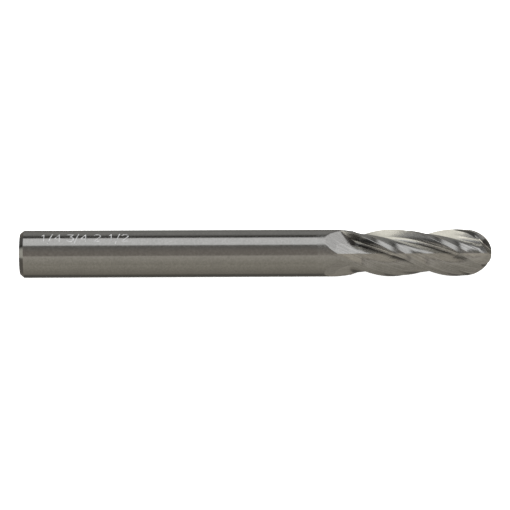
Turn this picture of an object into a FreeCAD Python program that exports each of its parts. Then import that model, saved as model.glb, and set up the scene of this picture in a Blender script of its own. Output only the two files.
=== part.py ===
import FreeCAD, Part
import math
import os

# A solid-carbide ball-nose end mill: four right-hand helical flutes, right-hand cutting.
# The tool's axis is X. The centre of the shank's flat end face is the origin and the ball
# points along +X. Angles around the axis start at +Z (top) and turn towards -Y.

# Driving dimensions, in millimetres and degrees
CUT_DIAMETER = 6.35
SHANK_DIAMETER = 6.35
OVERALL_LENGTH = 63.5
LENGTH_OF_CUT = 19.05
FLUTE_COUNT = 4
HELIX_ANGLE = 30.0
SHANK_CHAMFER_LENGTH = 0.55
SHANK_CHAMFER_DEPTH = 0.45
BACK_TAPER_PER_SIDE = 0.012
EDGE_ANGLE_AT_TIP = 2.0

# One tooth in a section square to the axis, each point given as the degrees behind its
# cutting edge and its radius as a share of the cutting radius
MARGIN_END = (1.2, 1.0)
PRIMARY_LAND_END = (15.0, 0.955)
HEEL = (34.0, 0.842)
FLUTE_FLOOR = [(43.0, 0.80), (52.0, 0.735), (61.0, 0.665), (70.0, 0.605), (78.0, 0.565), (85.0, 0.55)]
RAKE_ROOT = (92.3, 0.64)
RAKE_TOP = (90.0, 1.0)

# Where the flutes run out on a flat face, and where the grinding of the lands starts
RUN_OUT_FROM_TIP = 22.8
RUN_OUT_BEHIND_EDGE = 27.5
RUN_OUT_SLOPE = 19.0
LAND_BEHIND_EDGE = 2.0
LAND_SLOPE = 15.0
LAND_REACH = 3.5
SEAM_BEHIND_RUN_OUT = 1.0

# The ball: its lands are wider and less relieved, and a V-shaped gash opens each tooth
BALL_LAND = [(15.0, 0.968), (34.0, 0.912), (45.0, 0.852), (60.0, 0.78), (95.0, 0.72)]
BALL_LAND_FROM = 5.0
BALL_LAND_TO = 2.8
GASH_LENGTH = 2.35
GASH_ROOT_RADIUS_AT_TIP = 0.30
GASH_ROOT_SLOPE = 43.0
GASH_OPENING = 80.0

# How the cutting spaces are drawn: clear of the bar outside, and in short turns
CLEARANCE_RATIO = 1.15
CUTTER_PAST_RUN_OUT = 4.0
MARGIN_WALL_OFFSET = 0.5
BODY_SECTION_PITCH = 1.0
BALL_SECTION_COUNT = 12
BALL_LAST_ANGLE = 84.0
GASH_SECTION_COUNT = 8
BLOCK_SIZE = 80.0

CUT_RADIUS = CUT_DIAMETER / 2
SHANK_RADIUS = SHANK_DIAMETER / 2
LEAD = math.pi * CUT_DIAMETER / math.tan(math.radians(HELIX_ANGLE))
BALL_CENTRE_X = OVERALL_LENGTH - CUT_RADIUS
RUN_OUT_X = OVERALL_LENGTH - RUN_OUT_FROM_TIP
LAND_START_X = OVERALL_LENGTH - LENGTH_OF_CUT
SEAM_X = RUN_OUT_X - SEAM_BEHIND_RUN_OUT
FLUTE_PITCH = 360.0 / FLUTE_COUNT


def edge_angle(x):
    """Angle around the axis of the first cutting edge at x."""
    return EDGE_ANGLE_AT_TIP + 360.0 * (x - OVERALL_LENGTH) / LEAD


def around(x, radius, angle):
    """Point at a radius and an angle around the axis."""
    turn = math.radians(angle)
    return FreeCAD.Vector(x, -radius * math.sin(turn), radius * math.cos(turn))


def smooth_edge(points):
    """Smooth curve through the points."""
    curve = Part.BSplineCurve()
    curve.interpolate(points)
    return curve.toShape()


def ball_land_ratio(behind):
    """Radius of the ball's land, as a share of the ball's radius at that place."""
    points = [(0.0, 1.0)] + BALL_LAND
    for (near, high), (far, low) in zip(points, points[1:]):
        if behind <= far:
            return high + (low - high) * (behind - near) / (far - near)
    return points[-1][1]


def ball_scale(x):
    """Radius of the bar at x, as a share of the cutting radius."""
    past = max(0.0, x - BALL_CENTRE_X) / CUT_RADIUS
    return math.sqrt(1.0 - past * past)


def ball_share(x):
    """How far the lands have changed from those of the body to those of the ball."""
    from_tip = OVERALL_LENGTH - x
    share = (BALL_LAND_FROM - from_tip) / (BALL_LAND_FROM - BALL_LAND_TO)
    share = min(1.0, max(0.0, share))
    return share * share * (3.0 - 2.0 * share)


def flute_section(x, flute):
    """Closed outline of one flute and the relieved land before it, at x."""
    base = edge_angle(x) + flute * FLUTE_PITCH
    scale = ball_scale(x)
    share = ball_share(x)

    def place(ratio, behind):
        return around(x, ratio * CUT_RADIUS, base - behind)

    def land(point):
        behind, ratio = point
        ratio += (ball_land_ratio(behind) - ratio) * share
        return place(ratio * scale, behind)

    def floor(point):
        behind, ratio = point
        limit = 1.0 + (ball_land_ratio(behind) - 1.0) * share
        return place(min(ratio, limit * scale), behind)

    wall = MARGIN_END[0] - MARGIN_WALL_OFFSET
    outside = CLEARANCE_RATIO * scale
    land_start = land((wall, 1.0))
    crease = land(PRIMARY_LAND_END)
    heel = land(HEEL)
    rake_root = floor(RAKE_ROOT)
    rake_lean = (RAKE_TOP[0] - RAKE_ROOT[0]) / (RAKE_TOP[1] - RAKE_ROOT[1])
    rake_top = place(outside, RAKE_TOP[0] + rake_lean * (CLEARANCE_RATIO - 1.0))
    outer_start = place(outside, wall)
    outer_mid = place(outside, (wall + RAKE_TOP[0]) / 2)
    edges = [
        Part.makeLine(outer_start, land_start),
        Part.makeLine(land_start, crease),
        Part.makeLine(crease, heel),
        smooth_edge([heel] + [floor(point) for point in FLUTE_FLOOR] + [rake_root]),
        Part.makeLine(rake_root, rake_top),
        Part.Arc(rake_top, outer_mid, outer_start).toShape(),
    ]
    return Part.Wire(edges)


def block_above(x, slope, angle):
    """Large block outside the plane that leaves the bar's surface at x, sloping inwards."""
    block = Part.makeBox(BLOCK_SIZE, BLOCK_SIZE, BLOCK_SIZE)
    block.translate(FreeCAD.Vector(-BLOCK_SIZE / 2, -BLOCK_SIZE / 2, 0))
    origin = FreeCAD.Vector(0, 0, 0)
    block.rotate(origin, FreeCAD.Vector(0, 1, 0), slope)
    block.translate(around(x, CUT_RADIUS, 0.0))
    block.rotate(origin, FreeCAD.Vector(1, 0, 0), angle)
    return block


def slab(start, end):
    """Block that takes in the bar between two places along the axis."""
    size = 2 * CUT_DIAMETER
    block = Part.makeBox(end - start, size, size)
    block.translate(FreeCAD.Vector(start, -size / 2, -size / 2))
    return block


def body_cutter(flute):
    """Space of one flute along the cylinder, with its flat run-out and the start of its land."""
    start = RUN_OUT_X - CUTTER_PAST_RUN_OUT
    count = math.ceil((BALL_CENTRE_X - start) / BODY_SECTION_PITCH)
    step = (BALL_CENTRE_X - start) / count
    sections = [flute_section(start + step * i, flute) for i in range(count + 1)]
    helix = Part.makeLoft(sections, True, False)
    turn = flute * FLUTE_PITCH
    full_from = LAND_START_X + LAND_REACH
    entry = block_above(RUN_OUT_X, RUN_OUT_SLOPE, edge_angle(RUN_OUT_X) + turn - RUN_OUT_BEHIND_EDGE)
    land = block_above(LAND_START_X, LAND_SLOPE, edge_angle(LAND_START_X) + turn - LAND_BEHIND_EDGE)
    before = slab(start - 1.0, full_from)
    reach = entry.common(before).fuse(land.common(before)).fuse(slab(full_from, OVERALL_LENGTH))
    return helix.common(reach)


def ball_cutter(flute):
    """Space of one flute over the ball."""
    sections = []
    for i in range(BALL_SECTION_COUNT + 1):
        turn = math.radians(BALL_LAST_ANGLE * i / BALL_SECTION_COUNT)
        sections.append(flute_section(BALL_CENTRE_X + CUT_RADIUS * math.sin(turn), flute))
    return Part.makeLoft(sections, True, True)


def gash_cutter(flute):
    """V-shaped gash in front of one cutting edge on the ball."""
    sections = []
    for i in range(GASH_SECTION_COUNT + 1):
        from_tip = GASH_LENGTH * i / GASH_SECTION_COUNT
        x = OVERALL_LENGTH - from_tip
        base = edge_angle(x) + flute * FLUTE_PITCH
        root_radius = GASH_ROOT_RADIUS_AT_TIP + from_tip * math.tan(math.radians(GASH_ROOT_SLOPE))
        root = around(x, root_radius, base)
        outward = around(0, 1.0, base)
        forward = around(0, 1.0, base + 90.0)
        turn = math.radians(GASH_OPENING)
        wall = outward * math.cos(turn) + forward * math.sin(turn)
        corners = [root, root + outward * CUT_RADIUS, root + wall * CUT_RADIUS]
        sections.append(Part.makePolygon(corners + [root]))
    return Part.makeLoft(sections, True, True)


def ground_bar():
    """Chamfered round shank, then the fluted length with its slight back taper, then the ball."""
    chamfer_radius = SHANK_RADIUS - SHANK_CHAMFER_DEPTH
    points = [
        FreeCAD.Vector(0, 0, 0),
        FreeCAD.Vector(0, 0, chamfer_radius),
        FreeCAD.Vector(SHANK_CHAMFER_LENGTH, 0, SHANK_RADIUS),
        FreeCAD.Vector(SEAM_X, 0, SHANK_RADIUS),
        FreeCAD.Vector(SEAM_X, 0, CUT_RADIUS - BACK_TAPER_PER_SIDE),
        FreeCAD.Vector(BALL_CENTRE_X, 0, CUT_RADIUS),
    ]
    edges = [Part.makeLine(points[i], points[i + 1]) for i in range(len(points) - 1)]
    half = math.sqrt(0.5) * CUT_RADIUS
    ball_mid = FreeCAD.Vector(BALL_CENTRE_X + half, 0, half)
    tip = FreeCAD.Vector(OVERALL_LENGTH, 0, 0)
    edges.append(Part.Arc(points[-1], ball_mid, tip).toShape())
    edges.append(Part.makeLine(tip, points[0]))
    face = Part.Face(Part.Wire(edges))
    return face.revolve(FreeCAD.Vector(0, 0, 0), FreeCAD.Vector(1, 0, 0), 360)


def make_tool():
    """Whole tool as one ground body."""
    tool = ground_bar()
    for flute in range(FLUTE_COUNT):
        tool = tool.cut(body_cutter(flute))
        tool = tool.cut(ball_cutter(flute))
        tool = tool.cut(gash_cutter(flute))
    return tool


tool = make_tool()
nodes = {
    "shank": tool.common(slab(-1.0, SEAM_X)),
    "cutting_end": tool.common(slab(SEAM_X, OVERALL_LENGTH + 1.0)),
}
os.makedirs("parts", exist_ok=True)
for name, shape in nodes.items():
    solid = max(shape.Solids, key=lambda piece: piece.Volume)
    solid.exportStep(f"parts/{name}.step")
    print(name, "solids", len(shape.Solids), "valid", solid.isValid(), "volume", round(solid.Volume, 2))
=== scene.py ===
import math

import bpy
import numpy as np
from mathutils import Matrix, Vector


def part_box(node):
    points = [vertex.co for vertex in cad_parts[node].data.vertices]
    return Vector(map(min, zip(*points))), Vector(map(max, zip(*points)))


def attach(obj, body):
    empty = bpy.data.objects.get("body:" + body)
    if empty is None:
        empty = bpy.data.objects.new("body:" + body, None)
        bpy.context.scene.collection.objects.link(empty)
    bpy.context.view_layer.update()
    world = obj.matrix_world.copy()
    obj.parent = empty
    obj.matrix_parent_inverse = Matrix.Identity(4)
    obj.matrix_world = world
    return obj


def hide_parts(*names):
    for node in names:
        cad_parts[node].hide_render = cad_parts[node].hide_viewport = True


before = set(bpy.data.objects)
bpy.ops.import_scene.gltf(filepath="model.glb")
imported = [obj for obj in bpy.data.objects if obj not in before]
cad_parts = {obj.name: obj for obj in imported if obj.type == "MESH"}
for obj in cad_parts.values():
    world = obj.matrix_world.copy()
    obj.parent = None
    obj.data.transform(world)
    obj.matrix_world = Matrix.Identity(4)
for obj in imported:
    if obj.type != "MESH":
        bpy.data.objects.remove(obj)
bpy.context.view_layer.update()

# ---- Camera: looks down on the lying tool from its long side ----
CAMERA_ELEVATION = math.radians(50.0)
CAMERA_YAW = math.radians(2.4)
CAMERA_ROLL = math.radians(0.23)
CAMERA_DISTANCE = 0.280
CAMERA_CLIP = (0.01, 20.0)
SENSOR_WIDTH = 36.0
FOCAL_IN_WIDTHS = 4.078
ASIDE_IN_WIDTHS = 0.0038
RISE_IN_WIDTHS = 0.0033

shank_low, shank_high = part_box("shank")
end_low, end_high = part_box("cutting_end")
tool_length = end_high[0] - shank_low[0]
radius = (shank_high[2] - shank_low[2]) / 2
middle = Vector((shank_low[0] + tool_length / 2, 0.0, 0.0))
floor_z = shank_low[2]


def add_camera():
    data = bpy.data.cameras.new("camera")
    data.sensor_width = SENSOR_WIDTH
    data.lens = SENSOR_WIDTH * FOCAL_IN_WIDTHS
    data.clip_start, data.clip_end = CAMERA_CLIP
    data.shift_x = -ASIDE_IN_WIDTHS
    data.shift_y = -RISE_IN_WIDTHS
    camera = bpy.data.objects.new("camera", data)
    bpy.context.scene.collection.objects.link(camera)
    across = math.cos(CAMERA_YAW)
    away = Vector((
        -math.sin(CAMERA_YAW),
        -math.cos(CAMERA_ELEVATION) * across,
        math.sin(CAMERA_ELEVATION) * across,
    ))
    along = Vector((1.0, 0.0, 0.0))
    right = (along - away * along.dot(away)).normalized()
    right = Matrix.Rotation(-CAMERA_ROLL, 3, away) @ right
    up = away.cross(right)
    turn = Matrix((right, up, away)).transposed().to_4x4()
    camera.matrix_world = Matrix.Translation(middle + away * CAMERA_DISTANCE) @ turn
    bpy.context.scene.camera = camera


add_camera()

# ---- The tool's shape, in millimetres and degrees ----
MM = 0.001
LENGTH = tool_length / MM
CUT_R = radius / MM
SKIN = 0.002  # how far the meshes lie inside the CAD model's surface
HELIX_ANGLE = 30.0
LEAD = math.pi * 2 * CUT_R / math.tan(math.radians(HELIX_ANGLE))
FLUTES = 4
TIP_ANGLE = 2.0
SEAM_X = end_low[0] / MM
BALL_X = LENGTH - CUT_R

# The flat face that each flute runs out on; the heel rises out of it between two places past its start
RUN_OUT_FROM_TIP = 22.8
RUN_OUT_X = LENGTH - RUN_OUT_FROM_TIP
RUN_OUT_BEHIND = 27.5
RUN_OUT_SLOPE = math.radians(19.0)
RUN_OUT_REACH = 6.0
RUN_OUT_FACE = (3.2, 5.2)
RUN_OUT_FACE_BEHIND = 75.0

# Where the grinding of the lands starts
LENGTH_OF_CUT = 19.05
LAND_START_X = LENGTH - LENGTH_OF_CUT
LAND_BEHIND = 2.0
LAND_SLOPE = math.radians(15.0)
LAND_REACH = 3.5

# The lands change to the ball's between two places, in mm from the tip, and a gash opens each tooth
BALL_LAND_FROM = 5.0
BALL_LAND_TO = 2.8
GASH_FROM_TIP = 2.35
GASH_ROOT_AT_TIP = 0.093
GASH_ROOT_RISE = 0.29
GASH_OPENING = math.radians(80.0)

SHANK_CHAMFER_LENGTH = 0.55
SHANK_CHAMFER_DEPTH = 0.45

# One tooth in section: (degrees behind the edge, radius ratio)
MARGIN_END = (1.2, 1.0)
PRIMARY_END = (15.0, 0.955)
HEEL = (34.0, 0.842)
FLUTE_FLOOR = [
    (43.0, 0.80), (52.0, 0.735), (61.0, 0.665), (70.0, 0.605), (78.0, 0.565), (85.0, 0.55), (90.0, 0.575),
]
RAKE_ROOT = (92.3, 0.64)
RAKE_TOP = (90.0, 1.0)
# The land on the ball, as the same kind of points
BALL_LAND = [
    (0, 1), (8, 0.99), (15, 0.968), (22, 0.95), (29, 0.928),
    (36, 0.905), (42, 0.87), (50, 0.82), (60, 0.78), (95, 0.72),
]
# (mm from the tip, radius ratio) of the line on the rake face past which the ball's own rake is ground
BALL_RAKE_LINE = [
    (0, 0.09), (0.5, 0.16), (2.1, 0.606), (2.4, 0.666), (2.8, 0.745),
    (3.4, 0.84), (4.3, 0.897), (4.9, 0.943), (5.5, 1.0),
]
RAKE_LINE_LIMIT = 0.98  # how far up the rake face that line may lie

# How finely the cutting end is divided: points on each part of a tooth, and rows along the axis
PRIMARY_POINTS = 7
HEEL_POINTS = 9
FLOOR_POINTS = 34
RAKE_POINTS = 8
BODY_ROWS_FROM = 49.0
RUN_OUT_ROW_STEP = 0.055
BODY_ROWS = 110
BALL_ROWS = 60
BALL_LAST_SLOPE = 89.0
SHANK_COLUMNS = 192

# Limits that keep the geometry's divisions away from zero, and a radius ratio larger than any cut
LEAST_COSINE = 0.02
LEAST_OPENING = 0.02
LEAST_HEIGHT = 0.001
UNCUT = 9.0

# ---- Painted shade and painted highlights on the ground faces, as a share of the plain metal's colour ----
# Painted shade on the shank's end chamfer and in the gash; painted highlights on the run-out face, the ball's
# lands and the gash's line
SHANK_CHAMFER_PAINTED_SHADE = 0.42
RUN_OUT_PAINTED_HIGHLIGHT = 1.13
BALL_LAND_PAINTED_HIGHLIGHT = 1.2
GASH_PAINTED_SHADE = 0.45
GASH_LINE_PAINTED_HIGHLIGHT = 1.7
# (mm from the tip, share) of painted shading on the ball's own rake, dark up the ball and lighter near the
# tip, and of a painted highlight on the flute's rake face below its line
BALL_RAKE_PAINTED_SHADING = [(0, 1.5), (1.0, 1.3), (2.0, 0.5), (2.6, 0.2), (4.9, 0.14), (5.3, 1.0)]
LOWER_RAKE_PAINTED_HIGHLIGHT = [(1.8, 1.0), (2.4, 1.6), (4.0, 1.5), (4.8, 1.0)]
# (degrees behind the edge, share) in the flute: painted shade along the root, and a painted highlight strip
# below the rake face
FLUTE_PAINTED_SHADING = [(66, 1), (73, 0.5), (75, 0.28), (78, 0.28), (81, 1.4), (88, 1.4), (92, 1.0)]
FLUTE_PAINTED_SHADING_ENDS = (3.5, 6.5)  # it fades out between these places, in mm from the tip
# Where each flute starts, painted shade darkens its deep side: mm past the run-out's start, and degrees
# behind the edge
START_FROM = (3.0, 3.8)
START_TO = (5.5, 8.0)
START_DEEP = (66.0, 72.0)
START_PAINTED_SHADE = 0.5

# The grinding lines: how far apart the teeth's patterns lie, and the cut depth at which they are full
FLOW_PER_TOOTH = 7.0
FLOW_FULL_DEPTH = 0.01


def smoothstep(t):
    t = np.clip(t, 0.0, 1.0)
    return t * t * (3 - 2 * t)


def ease(value, start, end):
    """Smooth change from 0 at start to 1 at end, in either direction."""
    return smoothstep((value - start) / (end - start))


def table(value, points):
    """Straight lines through (place, value) points."""
    return np.interp(value, *zip(*points))


def edge_angle(x):
    """Angle around the axis of the first cutting edge, from the top towards -Y."""
    return TIP_ANGLE - 360.0 * (LENGTH - x) / LEAD


def spline(points, count):
    """Smooth curve through (angle, ratio) points, as count points after the first."""
    pts = np.array(points, float)
    pts = np.vstack([2 * pts[0] - pts[1], pts, 2 * pts[-1] - pts[-2]])
    spans = len(pts) - 3
    out = []
    for k in range(1, count + 1):
        s = k / count * spans
        i = min(int(s), spans - 1)
        t = s - i
        a, b, c, d = pts[i:i + 4]
        cubic = (c - a) * t + (2 * a - 5 * b + 4 * c - d) * t * t + (3 * b - a - 3 * c + d) * t ** 3
        out.append(tuple(b + cubic / 2))
    return out


def straight(first, last, count):
    """Flat between two (angle, ratio) points, as count points after the first."""
    turn = np.radians([first[0], last[0]])
    ends = np.stack([np.cos(turn), np.sin(turn)], axis=1) * np.array([[first[1]], [last[1]]])
    out = []
    for k in range(1, count + 1):
        p = ends[0] + (ends[1] - ends[0]) * k / count
        out.append((math.degrees(math.atan2(p[1], p[0])), float(np.hypot(*p))))
    return out


def tooth_profile():
    """One tooth and the flute behind it, edge first, as (degrees behind, ratio) points, and its creases."""
    profile = [(0.0, 1.0), (MARGIN_END[0] / 2, 1.0), MARGIN_END]
    creases = [0, 2]
    profile += straight(MARGIN_END, PRIMARY_END, PRIMARY_POINTS)
    creases.append(len(profile) - 1)
    profile += straight(PRIMARY_END, HEEL, HEEL_POINTS)
    creases.append(len(profile) - 1)
    profile += spline([HEEL] + FLUTE_FLOOR + [RAKE_ROOT], FLOOR_POINTS)
    profile += straight(RAKE_ROOT, RAKE_TOP, RAKE_POINTS)[:-1]
    return np.array(profile), creases


def station_rows():
    """Places along the axis, and how far the section shrinks there."""
    run_out = np.arange(SEAM_X, BODY_ROWS_FROM, RUN_OUT_ROW_STEP)
    body = np.linspace(BODY_ROWS_FROM, BALL_X, BODY_ROWS)
    slope = np.radians(np.linspace(0.0, BALL_LAST_SLOPE, BALL_ROWS)[1:])
    ball = BALL_X + CUT_R * np.sin(slope)
    x = np.concatenate([run_out, body, ball])
    scale = np.concatenate([np.ones(len(run_out) + len(body)), np.cos(slope)])
    return x, scale


def plane_ratio(x, psi, start, centre, slope, reach):
    """Radius ratio of the flat that a flute or land runs out on; 1 before it, 0 past its reach."""
    height = 1.0 - (x - start) * math.tan(slope) / CUT_R
    cosine = np.cos(np.radians(psi - centre))
    ratio = np.clip(height / np.maximum(cosine, LEAST_COSINE), 0.0, 1.0)
    ratio = np.where(x < start, 1.0, ratio)
    return np.where(x > start + reach, 0.0, ratio)


def run_out_section(column, psi, tooth, ratio, behind):
    """Radius ratio where flutes and lands run out, where the entry face is, and how far the heel is up."""
    flute_centre = edge_angle(RUN_OUT_X) - RUN_OUT_BEHIND - 360.0 / FLUTES * tooth
    land_centre = edge_angle(LAND_START_X) - LAND_BEHIND - 360.0 / FLUTES * tooth
    flute_flat = plane_ratio(column, psi, RUN_OUT_X, flute_centre, RUN_OUT_SLOPE, RUN_OUT_REACH)
    land_flat = plane_ratio(column, psi, LAND_START_X, land_centre, LAND_SLOPE, LAND_REACH)
    section = np.maximum(ratio, np.minimum(flute_flat, land_flat))
    # the entry face is cut a little below the heel, which only rises out of it further on
    risen = ease(column - RUN_OUT_X, *RUN_OUT_FACE)
    entry = (flute_flat < section) & (behind < RUN_OUT_FACE_BEHIND)
    section = np.where(entry, flute_flat + (section - flute_flat) * risen, section)
    return section, entry, risen


def rake_columns(behind):
    """Which columns lie on a rake face: the last ones of each tooth."""
    per_tooth = len(behind) // FLUTES
    return np.arange(len(behind)) % per_tooth >= per_tooth - RAKE_POINTS


def grind_ball_rake(inner, painted_shading, scale, root, from_tip, behind):
    """Put the rake's points on the lines where the ball's rake and the gash start, and paint shade and
    highlights on them; gives their new angles.
    """
    turned = np.broadcast_to(behind, inner.shape).copy()
    near = from_tip < BALL_RAKE_LINE[-1][0]
    cut = from_tip < GASH_FROM_TIP
    top = scale[near]
    rake_line = table(from_tip[near], BALL_RAKE_LINE)
    per_tooth = len(behind) // FLUTES
    for last in range(per_tooth, len(behind) + 1, per_tooth):
        first = last - RAKE_POINTS
        low = first + RAKE_POINTS // 2 - 1
        high = low + 2
        foot = inner[near, first]
        low_line = np.clip(rake_line, foot, foot + (top - foot) * RAKE_LINE_LIMIT)
        gash_line = np.clip(root[near], low_line, top)
        high_line = np.where(cut[near], gash_line, low_line + (top - low_line) / 3)
        spans = [(first, low, foot, low_line), (low, high, low_line, high_line), (high, last, high_line, top)]
        for start, end, below, above in spans:
            for k in range(start, end):
                inner[near, k] = below + (above - below) * (k - start) / (end - start)
        for k in range(first, last):
            height = (inner[near, k] - foot) / np.maximum(top - foot, LEAST_HEIGHT)
            turned[near, k] = RAKE_ROOT[0] + (RAKE_TOP[0] - RAKE_ROOT[0]) * height
            # painted shading on the rake above the line, a painted highlight below it
            painted_shading[near, k] = table(from_tip[near], BALL_RAKE_PAINTED_SHADING if k > low else LOWER_RAKE_PAINTED_HIGHLIGHT)
        # a painted highlight along the gash's line
        painted_shading[cut, high] = GASH_LINE_PAINTED_HIGHLIGHT
    return turned


def ball_section(column, scale, behind, section):
    """Radius ratio, degrees behind the edge and painted shading: wide relieved land, full flute, and gash."""
    from_tip = LENGTH - column
    share = ease(from_tip, BALL_LAND_FROM, BALL_LAND_TO)
    land = table(behind, BALL_LAND)
    is_land = behind <= HEEL[0]
    flute = np.where(is_land, UNCUT, section)
    relieved = np.where(rake_columns(behind), 1.0, 1.0 + (land - 1.0) * share)
    outer = scale * np.where(is_land, section + (land - section) * share, relieved)
    root = GASH_ROOT_AT_TIP + GASH_ROOT_RISE * from_tip
    spread = np.maximum(np.radians(RAKE_TOP[0] - behind), 0.0)
    opening = np.sin(np.maximum(GASH_OPENING - spread, LEAST_OPENING))
    gash = np.where(from_tip < GASH_FROM_TIP, root * math.sin(GASH_OPENING) / opening, UNCUT)
    plain = np.minimum(outer, flute)
    inner = np.minimum(plain, np.where(is_land, UNCUT, gash))
    # painted shade where the gash cuts, and a painted highlight on the ball's lands
    floor_painted_shading = np.where(inner < plain, GASH_PAINTED_SHADE, 1.0)
    painted_shading = np.where(is_land, 1.0 + (BALL_LAND_PAINTED_HIGHLIGHT - 1.0) * share, floor_painted_shading)
    turned = grind_ball_rake(inner, painted_shading, scale[:, 0], root[:, 0], from_tip[:, 0], behind)
    return inner, turned, painted_shading


def paint_flute_shading(painted_shading, column, behind, entry, risen):
    """Painted shading: painted shade along the flutes' roots and at the start of each flute, painted
    highlights on the run-out faces and below the rake face.
    """
    # painted shade along the flute's root and a painted highlight strip below the rake face, none on the rake
    # itself
    floor_painted_shading = table(behind, FLUTE_PAINTED_SHADING)
    floor_painted_shading[rake_columns(behind)] = 1.0
    painted_shading = painted_shading * (1.0 + (floor_painted_shading - 1.0) * risen * ease(LENGTH - column, *FLUTE_PAINTED_SHADING_ENDS))
    # painted highlight on each run-out face, fading as the heel rises out of it
    painted_shading = np.where(entry, painted_shading * (1.0 + (RUN_OUT_PAINTED_HIGHLIGHT - 1.0) * (1.0 - risen)), painted_shading)
    # painted shade on the deep side where each flute starts
    run = column - RUN_OUT_X
    start = ease(run, *START_FROM) * (1.0 - ease(run, *START_TO)) * ease(behind, *START_DEEP)
    return painted_shading * (1.0 - (1.0 - START_PAINTED_SHADE) * start)


def finish_piece(name, verts, faces, sharp_test, node):
    mesh = bpy.data.meshes.new(name)
    mesh.from_pydata((verts * MM).tolist(), [], faces)
    mesh.update()
    ends = np.zeros(len(mesh.edges) * 2, int)
    mesh.edges.foreach_get("vertices", ends)
    sharp = sharp_test(ends.reshape(-1, 2))
    mesh.polygons.foreach_set("use_smooth", np.ones(len(mesh.polygons), bool))
    attribute = mesh.attributes.get("sharp_edge") or mesh.attributes.new("sharp_edge", "BOOLEAN", "EDGE")
    attribute.data.foreach_set("value", sharp)
    piece = bpy.data.objects.new(name, mesh)
    bpy.context.scene.collection.objects.link(piece)
    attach(piece, "root")
    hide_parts(node)
    return piece


def add_attribute(piece, name, kind, domain, field, values):
    attribute = piece.data.attributes.new(name, kind, domain)
    attribute.data.foreach_set(field, values.reshape(-1))


def ring_faces(first, cols, step):
    """Faces between two rings of points, the second one a step further on."""
    around = [(j, (j + 1) % cols) for j in range(cols)]
    return [(first + b, first + a, first + step + a, first + step + b) for a, b in around]


def fluted_piece():
    profile, creases = tooth_profile()
    x, scale = station_rows()
    tooth = np.repeat(np.arange(FLUTES), len(profile))
    behind = np.tile(profile[:, 0], FLUTES)
    ratio = np.tile(profile[:, 1], FLUTES)
    column = x[:, None]
    psi = edge_angle(column) - 360.0 / FLUTES * tooth - behind
    section, entry, risen = run_out_section(column, psi, tooth, ratio, behind)
    ball, turned, painted_shading = ball_section(column, scale[:, None], behind, section)
    painted_shading = paint_flute_shading(painted_shading, column, behind, entry, risen)
    r = ball * (CUT_R - SKIN)
    turn = np.radians(psi + behind - turned)
    points = np.stack([np.broadcast_to(column, r.shape), -r * np.sin(turn), r * np.cos(turn)], axis=2)
    count, cols = r.shape
    verts = np.vstack([points.reshape(-1, 3), [[LENGTH - SKIN, 0.0, 0.0]]])
    faces = []
    for i in range(count - 1):
        faces += ring_faces(i * cols, cols, cols)
    last = (count - 1) * cols
    faces += [(last + j, last + (j + 1) % cols, len(verts) - 1) for j in range(cols)]
    faces.append(tuple(reversed(range(cols))))
    crease_columns = [c + k * len(profile) for c in creases for k in range(FLUTES)]

    def sharp_test(ends):
        row, col = ends // cols, ends % cols
        along = (col[:, 0] == col[:, 1]) & (row[:, 0] != row[:, 1])
        rim = (row[:, 0] == 0) & (row[:, 1] == 0)
        return along & np.isin(col[:, 0], crease_columns) | rim

    piece = finish_piece("cutting_end_ground", verts, faces, sharp_test, "cutting_end")
    # where each point lies on the flute, for the grinding lines, and how far it is below the bar
    flow = np.zeros((len(verts), 3))
    flow[:-1, 0] = np.broadcast_to(column, r.shape).reshape(-1)
    flow[:-1, 1] = np.broadcast_to(np.radians(behind) * CUT_R + tooth * FLOW_PER_TOOTH, r.shape).reshape(-1)
    flow[:-1, 2] = np.clip((1.0 - section) / FLOW_FULL_DEPTH, 0.0, 1.0).reshape(-1)
    add_attribute(piece, "flow", "FLOAT_VECTOR", "POINT", "vector", flow)
    # painted shade and painted highlights, which the material multiplies into the metal's colour
    add_attribute(piece, "painted_shading", "FLOAT", "POINT", "value", np.append(painted_shading, 1.0))
    return piece


def shank_piece():
    cols = SHANK_COLUMNS
    outer = CUT_R - SKIN
    inner = outer - SHANK_CHAMFER_DEPTH
    steps = [(SKIN, inner), (SKIN + SHANK_CHAMFER_LENGTH, outer), (SEAM_X, outer)]
    turn = np.radians(np.arange(cols) * 360.0 / cols)
    verts = []
    for x, r in steps:
        verts += [(x, -r * math.sin(t), r * math.cos(t)) for t in turn]
    faces = ring_faces(0, cols, cols) + ring_faces(cols, cols, cols)
    faces.append(tuple(reversed(range(cols))))
    faces.append(tuple(range(2 * cols, 3 * cols)))

    def sharp_test(ends):
        row = ends // cols
        return row[:, 0] == row[:, 1]

    piece = finish_piece("shank_ground", np.array(verts), faces, sharp_test, "shank")
    # Painted shade on the end chamfer's faces, plain metal elsewhere
    painted_shading = np.ones(len(faces))
    painted_shading[:cols] = SHANK_CHAMFER_PAINTED_SHADE
    add_attribute(piece, "painted_shading", "FLOAT", "FACE", "value", painted_shading)
    return piece


# ---- Size marking: plain numerals etched along the shank ----
GLYPH_HEIGHT = 6
GLYPHS = {
    "1": [(0.8, 4.8), (2, 6), (2, 0)],
    "2": [(0, 5), (1, 6), (3, 6), (4, 5), (4, 4), (0, 0), (4, 0)],
    "3": [(0, 6), (4, 6), (2, 3.6), (3, 3.6), (4, 2.6), (4, 1), (3, 0), (1, 0), (0, 0.8)],
    "4": [(3, 0), (3, 6), (0, 2), (4, 2)],
    "/": [(0.2, -1.6), (3.0, 6.6)],
    " ": [],
}
# (numerals, mm from the shank's end): cutting diameter, length of cut and overall length in inches
MARKS = [("1/4", 2.9), ("3/4", 6.4), ("2 1/2", 10.0)]
# Their sizes in mm, and their middle line in degrees around from the top
MARK_HEIGHT = 1.2
MARK_PITCH = 0.92
MARK_CENTRE = -3.0
MARK_STROKE = 0.12
MARK_LIFT = 0.0005
MARK_STEP = 0.08


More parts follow.
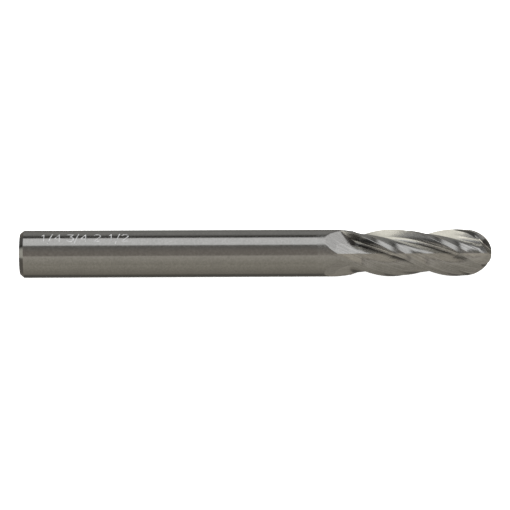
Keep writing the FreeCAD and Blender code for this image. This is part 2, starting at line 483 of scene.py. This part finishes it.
def marking_piece():
    unit = MARK_HEIGHT / GLYPH_HEIGHT
    lift = CUT_R - SKIN + MARK_LIFT
    verts = []
    faces = []

    def place(u, v):
        turn = math.radians(MARK_CENTRE) + (MARK_HEIGHT / 2 - v) / CUT_R
        return (u, -lift * math.sin(turn), lift * math.cos(turn))

    def add_stroke(a, b):
        way = (b - a).normalized() * MARK_STROKE / 2
        side = Vector((-way.y, way.x))
        count = math.ceil((b - a).length / MARK_STEP)
        first = len(verts)
        for k in range(count + 1):
            point = a - way + (b - a + way * 2) * k / count
            verts.append(place(*(point - side)))
            verts.append(place(*(point + side)))
        for k in range(first, first + 2 * count, 2):
            faces.append((k, k + 2, k + 3, k + 1))

    for text, start in MARKS:
        for index, letter in enumerate(text):
            points = [Vector((start + index * MARK_PITCH + x * unit, y * unit)) for x, y in GLYPHS[letter]]
            for a, b in zip(points, points[1:]):
                add_stroke(a, b)

    def sharp_test(ends):
        return np.zeros(len(ends), bool)

    return finish_piece("size_marking", np.array(verts), faces, sharp_test, "shank")


# ---- Materials: noise scales per metre or per mm of flow, and how far each changes the tone ----
BASE = 0.55  # how much light the plain metal reflects
NOISE_SPAN = (0.3, 0.7)
GRIT_SCALE = 3200.0
GRIT_DETAIL = 3.0
GRIT_TONE = 0.07
BLOTCH_SCALE = 420.0
BLOTCH_TONE = 0.03
LINES_STRETCH = (0.12, 5.0, 0.0)
LINES_SCALE = 1.6
LINES_DETAIL = 3.0
LINES_TONE = 0.17
LINES_STRENGTH = 0.5
LINES_DEPTH = 0.000014
ETCHED_ROUGHNESS = 0.8
ETCHED_SCALE = 3000.0
ETCHED_TONES = (0.16, 0.50)
EVEN = (1, 1, 1)
SHANK_ROUGHNESS = (0.10, 0.16)
FLUTE_ROUGHNESS = (0.18, 0.26)


def linear(value):
    """Linear light of an sRGB level from 0 to 255."""
    value = value / 255.0
    return value / 12.92 if value <= 0.04045 else ((value + 0.055) / 1.055) ** 2.4


def studio_colour(rgb, share=1.0):
    """Light that looks like this sRGB colour once the metal has reflected it."""
    return (*[linear(level) / BASE for level in rgb], share)


# Where a Mix node keeps the sockets of each kind
MIX_INPUTS = {"FLOAT": 2, "RGBA": 6}
MIX_OUTPUT = {"FLOAT": 0, "RGBA": 2}


class Nodes:
    """Short way to add and join shader nodes."""

    def __init__(self, tree):
        self.tree = tree

    def add(self, kind, **settings):
        node = self.tree.nodes.new(kind)
        for key, value in settings.items():
            setattr(node, key, value)
        return node

    def join(self, source, target):
        self.tree.links.new(source, target)

    def math(self, operation, a, b=None):
        node = self.add("ShaderNodeMath", operation=operation)
        for socket, value in zip(node.inputs, (a, b)):
            if value is None:
                continue
            if isinstance(value, (int, float)):
                socket.default_value = value
            else:
                self.join(value, socket)
        return node.outputs[0]

    def span(self, value, low, high, new_low, new_high):
        node = self.add("ShaderNodeMapRange")
        ends = {"From Min": low, "From Max": high, "To Min": new_low, "To Max": new_high}
        for key, number in ends.items():
            node.inputs[key].default_value = number
        self.join(value, node.inputs["Value"])
        return node.outputs[0]

    def noise(self, vector, stretch, scale, detail=2.0):
        mapping = self.add("ShaderNodeMapping")
        mapping.inputs["Scale"].default_value = stretch
        self.join(vector, mapping.inputs["Vector"])
        node = self.add("ShaderNodeTexNoise")
        node.inputs["Scale"].default_value = scale
        node.inputs["Detail"].default_value = detail
        self.join(mapping.outputs[0], node.inputs["Vector"])
        return node.outputs["Fac"]

    def grey(self, value):
        node = self.add("ShaderNodeCombineColor")
        for socket in node.inputs[:3]:
            self.join(value, socket)
        return node.outputs[0]

    def mix(self, factor, first, second, kind="RGBA"):
        """The first value where the factor is 0, and the second where it is 1."""
        node = self.add("ShaderNodeMix", data_type=kind)
        self.join(factor, node.inputs[0])
        start = MIX_INPUTS[kind]
        for socket, value in zip(node.inputs[start:start + 2], (first, second)):
            if isinstance(value, tuple):
                socket.default_value = value
            else:
                self.join(value, socket)
        return node.outputs[MIX_OUTPUT[kind]]


def carbide(name, flutes):
    """Ground carbide: fine grit, faint blotches, on the flutes grinding lines along the cut, and the mesh's
    painted shade and highlights.
    """
    material = bpy.data.materials.new(name)
    material.use_nodes = True
    kit = Nodes(material.node_tree)
    shader = material.node_tree.nodes["Principled BSDF"]
    shader.inputs["Metallic"].default_value = 1.0
    place = kit.add("ShaderNodeTexCoord").outputs["Object"]
    grit = kit.noise(place, EVEN, GRIT_SCALE, GRIT_DETAIL)
    blotch = kit.noise(place, EVEN, BLOTCH_SCALE)
    grit_tone = kit.span(grit, *NOISE_SPAN, -GRIT_TONE, GRIT_TONE)
    blotch_tone = kit.span(blotch, *NOISE_SPAN, -BLOTCH_TONE, BLOTCH_TONE)
    tone = kit.math("ADD", grit_tone, blotch_tone)
    rough = kit.span(grit, *NOISE_SPAN, *(FLUTE_ROUGHNESS if flutes else SHANK_ROUGHNESS))
    if flutes:
        flow = kit.add("ShaderNodeAttribute", attribute_name="flow").outputs["Vector"]
        split = kit.add("ShaderNodeSeparateXYZ")
        kit.join(flow, split.inputs[0])
        lines = kit.noise(flow, LINES_STRETCH, LINES_SCALE, LINES_DETAIL)
        ground = split.outputs["Z"]
        lines_tone = kit.span(lines, *NOISE_SPAN, -LINES_TONE, LINES_TONE)
        tone = kit.math("ADD", tone, kit.math("MULTIPLY", ground, lines_tone))
        bump = kit.add("ShaderNodeBump")
        bump.inputs["Strength"].default_value = LINES_STRENGTH
        bump.inputs["Distance"].default_value = LINES_DEPTH
        kit.join(kit.math("MULTIPLY", lines, ground), bump.inputs["Height"])
        kit.join(bump.outputs[0], shader.inputs["Normal"])
    # Painted shade and painted highlights from the mesh, multiplied into the metal's colour
    painted_shading = kit.add("ShaderNodeAttribute", attribute_name="painted_shading").outputs["Fac"]
    value = kit.math("MULTIPLY", kit.math("MULTIPLY", kit.math("ADD", tone, 1.0), BASE), painted_shading)
    kit.join(kit.grey(value), shader.inputs["Base Color"])
    kit.join(rough, shader.inputs["Roughness"])
    return material


def etched():
    """Pale matt metal where the numerals are etched."""
    material = bpy.data.materials.new("etched")
    material.use_nodes = True
    kit = Nodes(material.node_tree)
    shader = material.node_tree.nodes["Principled BSDF"]
    shader.inputs["Roughness"].default_value = ETCHED_ROUGHNESS
    place = kit.add("ShaderNodeTexCoord").outputs["Object"]
    grit = kit.span(kit.noise(place, EVEN, ETCHED_SCALE), *NOISE_SPAN, *ETCHED_TONES)
    kit.join(kit.grey(grit), shader.inputs["Base Color"])
    return material


shank = shank_piece()
shank.data.materials.append(carbide("ground_carbide", False))
cutting_end = fluted_piece()
cutting_end.data.materials.append(carbide("fluted_carbide", True))
marking = marking_piece()
marking.data.materials.append(etched())


# ---- Stage ----
FLOOR_HALF = 3.0
FLOOR_COLOUR = (0.95, 0.95, 0.95, 1)
FLOOR_GLOW = 0.8


def add_floor():
    """Pale floor that the tool lies on; the metal reflects the studio instead of it."""
    mesh = bpy.data.meshes.new("floor")
    signs = ((-1, -1), (1, -1), (1, 1), (-1, 1))
    corners = [(FLOOR_HALF * x, FLOOR_HALF * y, floor_z) for x, y in signs]
    mesh.from_pydata(corners, [], [(0, 1, 2, 3)])
    floor = bpy.data.objects.new("floor", mesh)
    bpy.context.scene.collection.objects.link(floor)
    floor.visible_glossy = False
    material = bpy.data.materials.new("floor")
    material.use_nodes = True
    shader = material.node_tree.nodes["Principled BSDF"]
    shader.inputs["Base Color"].default_value = FLOOR_COLOUR
    shader.inputs["Roughness"].default_value = 1.0
    shader.inputs["Specular IOR Level"].default_value = 0.0
    shader.inputs["Emission Color"].default_value = (1, 1, 1, 1)
    shader.inputs["Emission Strength"].default_value = FLOOR_GLOW
    mesh.materials.append(material)


# The stops come from tones read row by row on the photo's shank, turned into the directions that it reflects.
# (angle from the near horizon over the top, sRGB colour of the studio there as the metal shows it)
BANDS = [
    (-180, (96, 95, 91)), (-132, (96, 95, 91)), (-128, (70, 68, 63)), (-76, (66, 64, 60)),
    (-69, (96, 92, 84)), (-10, (117, 113, 104)), (-4, (112, 108, 99)), (38, (129, 125, 117)),
    (41, (97, 92, 86)), (58, (96, 91, 85)), (68, (91, 87, 82)), (80, (83, 81, 77)),
    (90, (83, 81, 78)), (94, (172, 172, 170)), (131, (174, 173, 171)), (134, (50, 49, 46)),
    (146, (50, 49, 46)), (151, (90, 89, 86)), (160, (104, 103, 100)), (180, (104, 103, 100)),
]
# These, the card's colour and the low ends' were set against tones read on the photo's flutes and ball.
# (how far the direction leans along +X, sRGB colour there, share of that colour)
SIDES = [
    (-1.0, (212, 209, 197), 1.0), (-0.42, (212, 209, 197), 1.0), (-0.36, (200, 198, 190), 0.0),
    (0.55, (60, 58, 52), 0.0), (0.72, (60, 58, 50), 1.0), (1.0, (60, 58, 50), 1.0),
]
# The dark side's panel fades in with height, and ends overhead; the pale side's ends in front and behind
DARK_SIDE_RISE = (0.4, 0.7)
DARK_SIDE_FAR = (math.radians(90.0), math.radians(100.0))
PALE_SIDE_NEAR = (math.radians(-20.0), math.radians(-5.0))
PALE_SIDE_FAR = (math.radians(120.0), math.radians(135.0))
# An even grey low down towards both ends of the tool
LOW_END_LEAN = (0.18, 0.28)
LOW_END_DROP = (0.0, -0.15)
LOW_END_COLOUR = (113, 109, 101)
SKY = (1.15, 1.15, 1.15, 1)  # what anything but a reflection sees


def ramp(kit, value, stops):
    """Colour ramp through (place, sRGB colour, share) stops."""
    node = kit.add("ShaderNodeValToRGB")
    elements = node.color_ramp.elements
    while len(elements) > 1:
        elements.remove(elements[-1])
    for index, (place, rgb, share) in enumerate(stops):
        element = elements[0] if index == 0 else elements.new(place)
        element.position = place
        element.color = studio_colour(rgb, share)
    kit.join(value, node.inputs[0])
    return node


def add_world():
    """Studio around the tool: its colours depend only on the direction of a reflected ray."""
    world = bpy.data.worlds.new("studio")
    bpy.context.scene.world = world
    world.use_nodes = True
    kit = Nodes(world.node_tree)
    split = kit.add("ShaderNodeSeparateXYZ")
    kit.join(kit.add("ShaderNodeTexCoord").outputs["Generated"], split.inputs[0])
    lean = split.outputs["X"]
    height = split.outputs["Z"]
    angle = kit.math("ARCTAN2", height, kit.math("MULTIPLY", split.outputs["Y"], -1.0))
    stops = [((degrees + 180.0) / 360.0, rgb, 1.0) for degrees, rgb in BANDS]
    bands = ramp(kit, kit.span(angle, -math.pi, math.pi, 0.0, 1.0), stops)
    stops = [((place + 1.0) / 2.0, rgb, share) for place, rgb, share in SIDES]
    sides = ramp(kit, kit.span(lean, -1.0, 1.0, 0.0, 1.0), stops)
    dark_panel = kit.math(
        "MULTIPLY",
        kit.span(height, *DARK_SIDE_RISE, 0.0, 1.0),
        kit.span(angle, *DARK_SIDE_FAR, 1.0, 0.0),
    )
    pale_panel = kit.math(
        "MULTIPLY",
        kit.span(angle, *PALE_SIDE_NEAR, 0.0, 1.0),
        kit.span(angle, *PALE_SIDE_FAR, 1.0, 0.0),
    )
    low_end = kit.math(
        "MULTIPLY",
        kit.span(kit.math("ABSOLUTE", lean), *LOW_END_LEAN, 0.0, 1.0),
        kit.span(height, *LOW_END_DROP, 0.0, 1.0),
    )
    level = kit.mix(low_end, bands.outputs["Color"], studio_colour(LOW_END_COLOUR))
    panel = kit.mix(kit.math("LESS_THAN", lean, 0.0), dark_panel, pale_panel, kind="FLOAT")
    side_share = kit.math("MULTIPLY", sides.outputs["Alpha"], panel)
    studio = kit.mix(side_share, level, sides.outputs["Color"])
    reflected = kit.add("ShaderNodeLightPath").outputs["Is Glossy Ray"]
    background = world.node_tree.nodes["Background"]
    kit.join(kit.mix(reflected, SKY, studio), background.inputs["Color"])


# The card: how far it reaches towards the camera, half its length along the tool, and its drop, in metres
CARD_START = -0.0006
CARD_END = 0.400
CARD_HALF = 0.400
CARD_DROP = 0.0001
CARD_COLOUR = (126, 121, 111)


def add_card():
    """Studio card that meets the tool along its near side, edge on to the camera."""
    toward = Vector((0.0, -math.cos(CAMERA_ELEVATION), math.sin(CAMERA_ELEVATION)))
    down = Vector((0.0, -math.sin(CAMERA_ELEVATION), -math.cos(CAMERA_ELEVATION)))
    corners = []
    for along, out in ((-1, CARD_START), (1, CARD_START), (1, CARD_END), (-1, CARD_END)):
        corners.append(middle + Vector((along * CARD_HALF, 0, 0)) + toward * out + down * CARD_DROP)
    mesh = bpy.data.meshes.new("card")
    mesh.from_pydata(corners, [], [(0, 1, 2, 3)])
    card = bpy.data.objects.new("card", mesh)
    bpy.context.scene.collection.objects.link(card)
    card.visible_camera = False
    card.visible_diffuse = False
    card.visible_shadow = False
    card.visible_transmission = False
    material = bpy.data.materials.new("card")
    material.use_nodes = True
    material.node_tree.nodes.clear()
    kit = Nodes(material.node_tree)
    glow = kit.add("ShaderNodeEmission")
    glow.inputs["Color"].default_value = studio_colour(CARD_COLOUR)
    one_sided = kit.add("ShaderNodeMixShader")
    kit.join(kit.add("ShaderNodeNewGeometry").outputs["Backfacing"], one_sided.inputs[0])
    kit.join(glow.outputs[0], one_sided.inputs[1])
    kit.join(kit.add("ShaderNodeBsdfTransparent").outputs[0], one_sided.inputs[2])
    kit.join(one_sided.outputs[0], kit.add("ShaderNodeOutputMaterial").inputs[0])
    mesh.materials.append(material)


KEY_SIZE = (0.6, 0.4)
KEY_PLACE = (0.03, -0.10, 0.9)
KEY_WATTS = 4.0


def add_key_light():
    """Soft light from above, which isn't itself reflected."""
    light = bpy.data.lights.new("key", "AREA")
    light.shape = "RECTANGLE"
    light.size, light.size_y = KEY_SIZE
    light.energy = KEY_WATTS
    lamp = bpy.data.objects.new("key", light)
    bpy.context.scene.collection.objects.link(lamp)
    lamp.location = KEY_PLACE
    lamp.visible_glossy = False


add_floor()
add_world()
add_card()
add_key_light()
bpy.context.scene.view_settings.view_transform = "Standard"
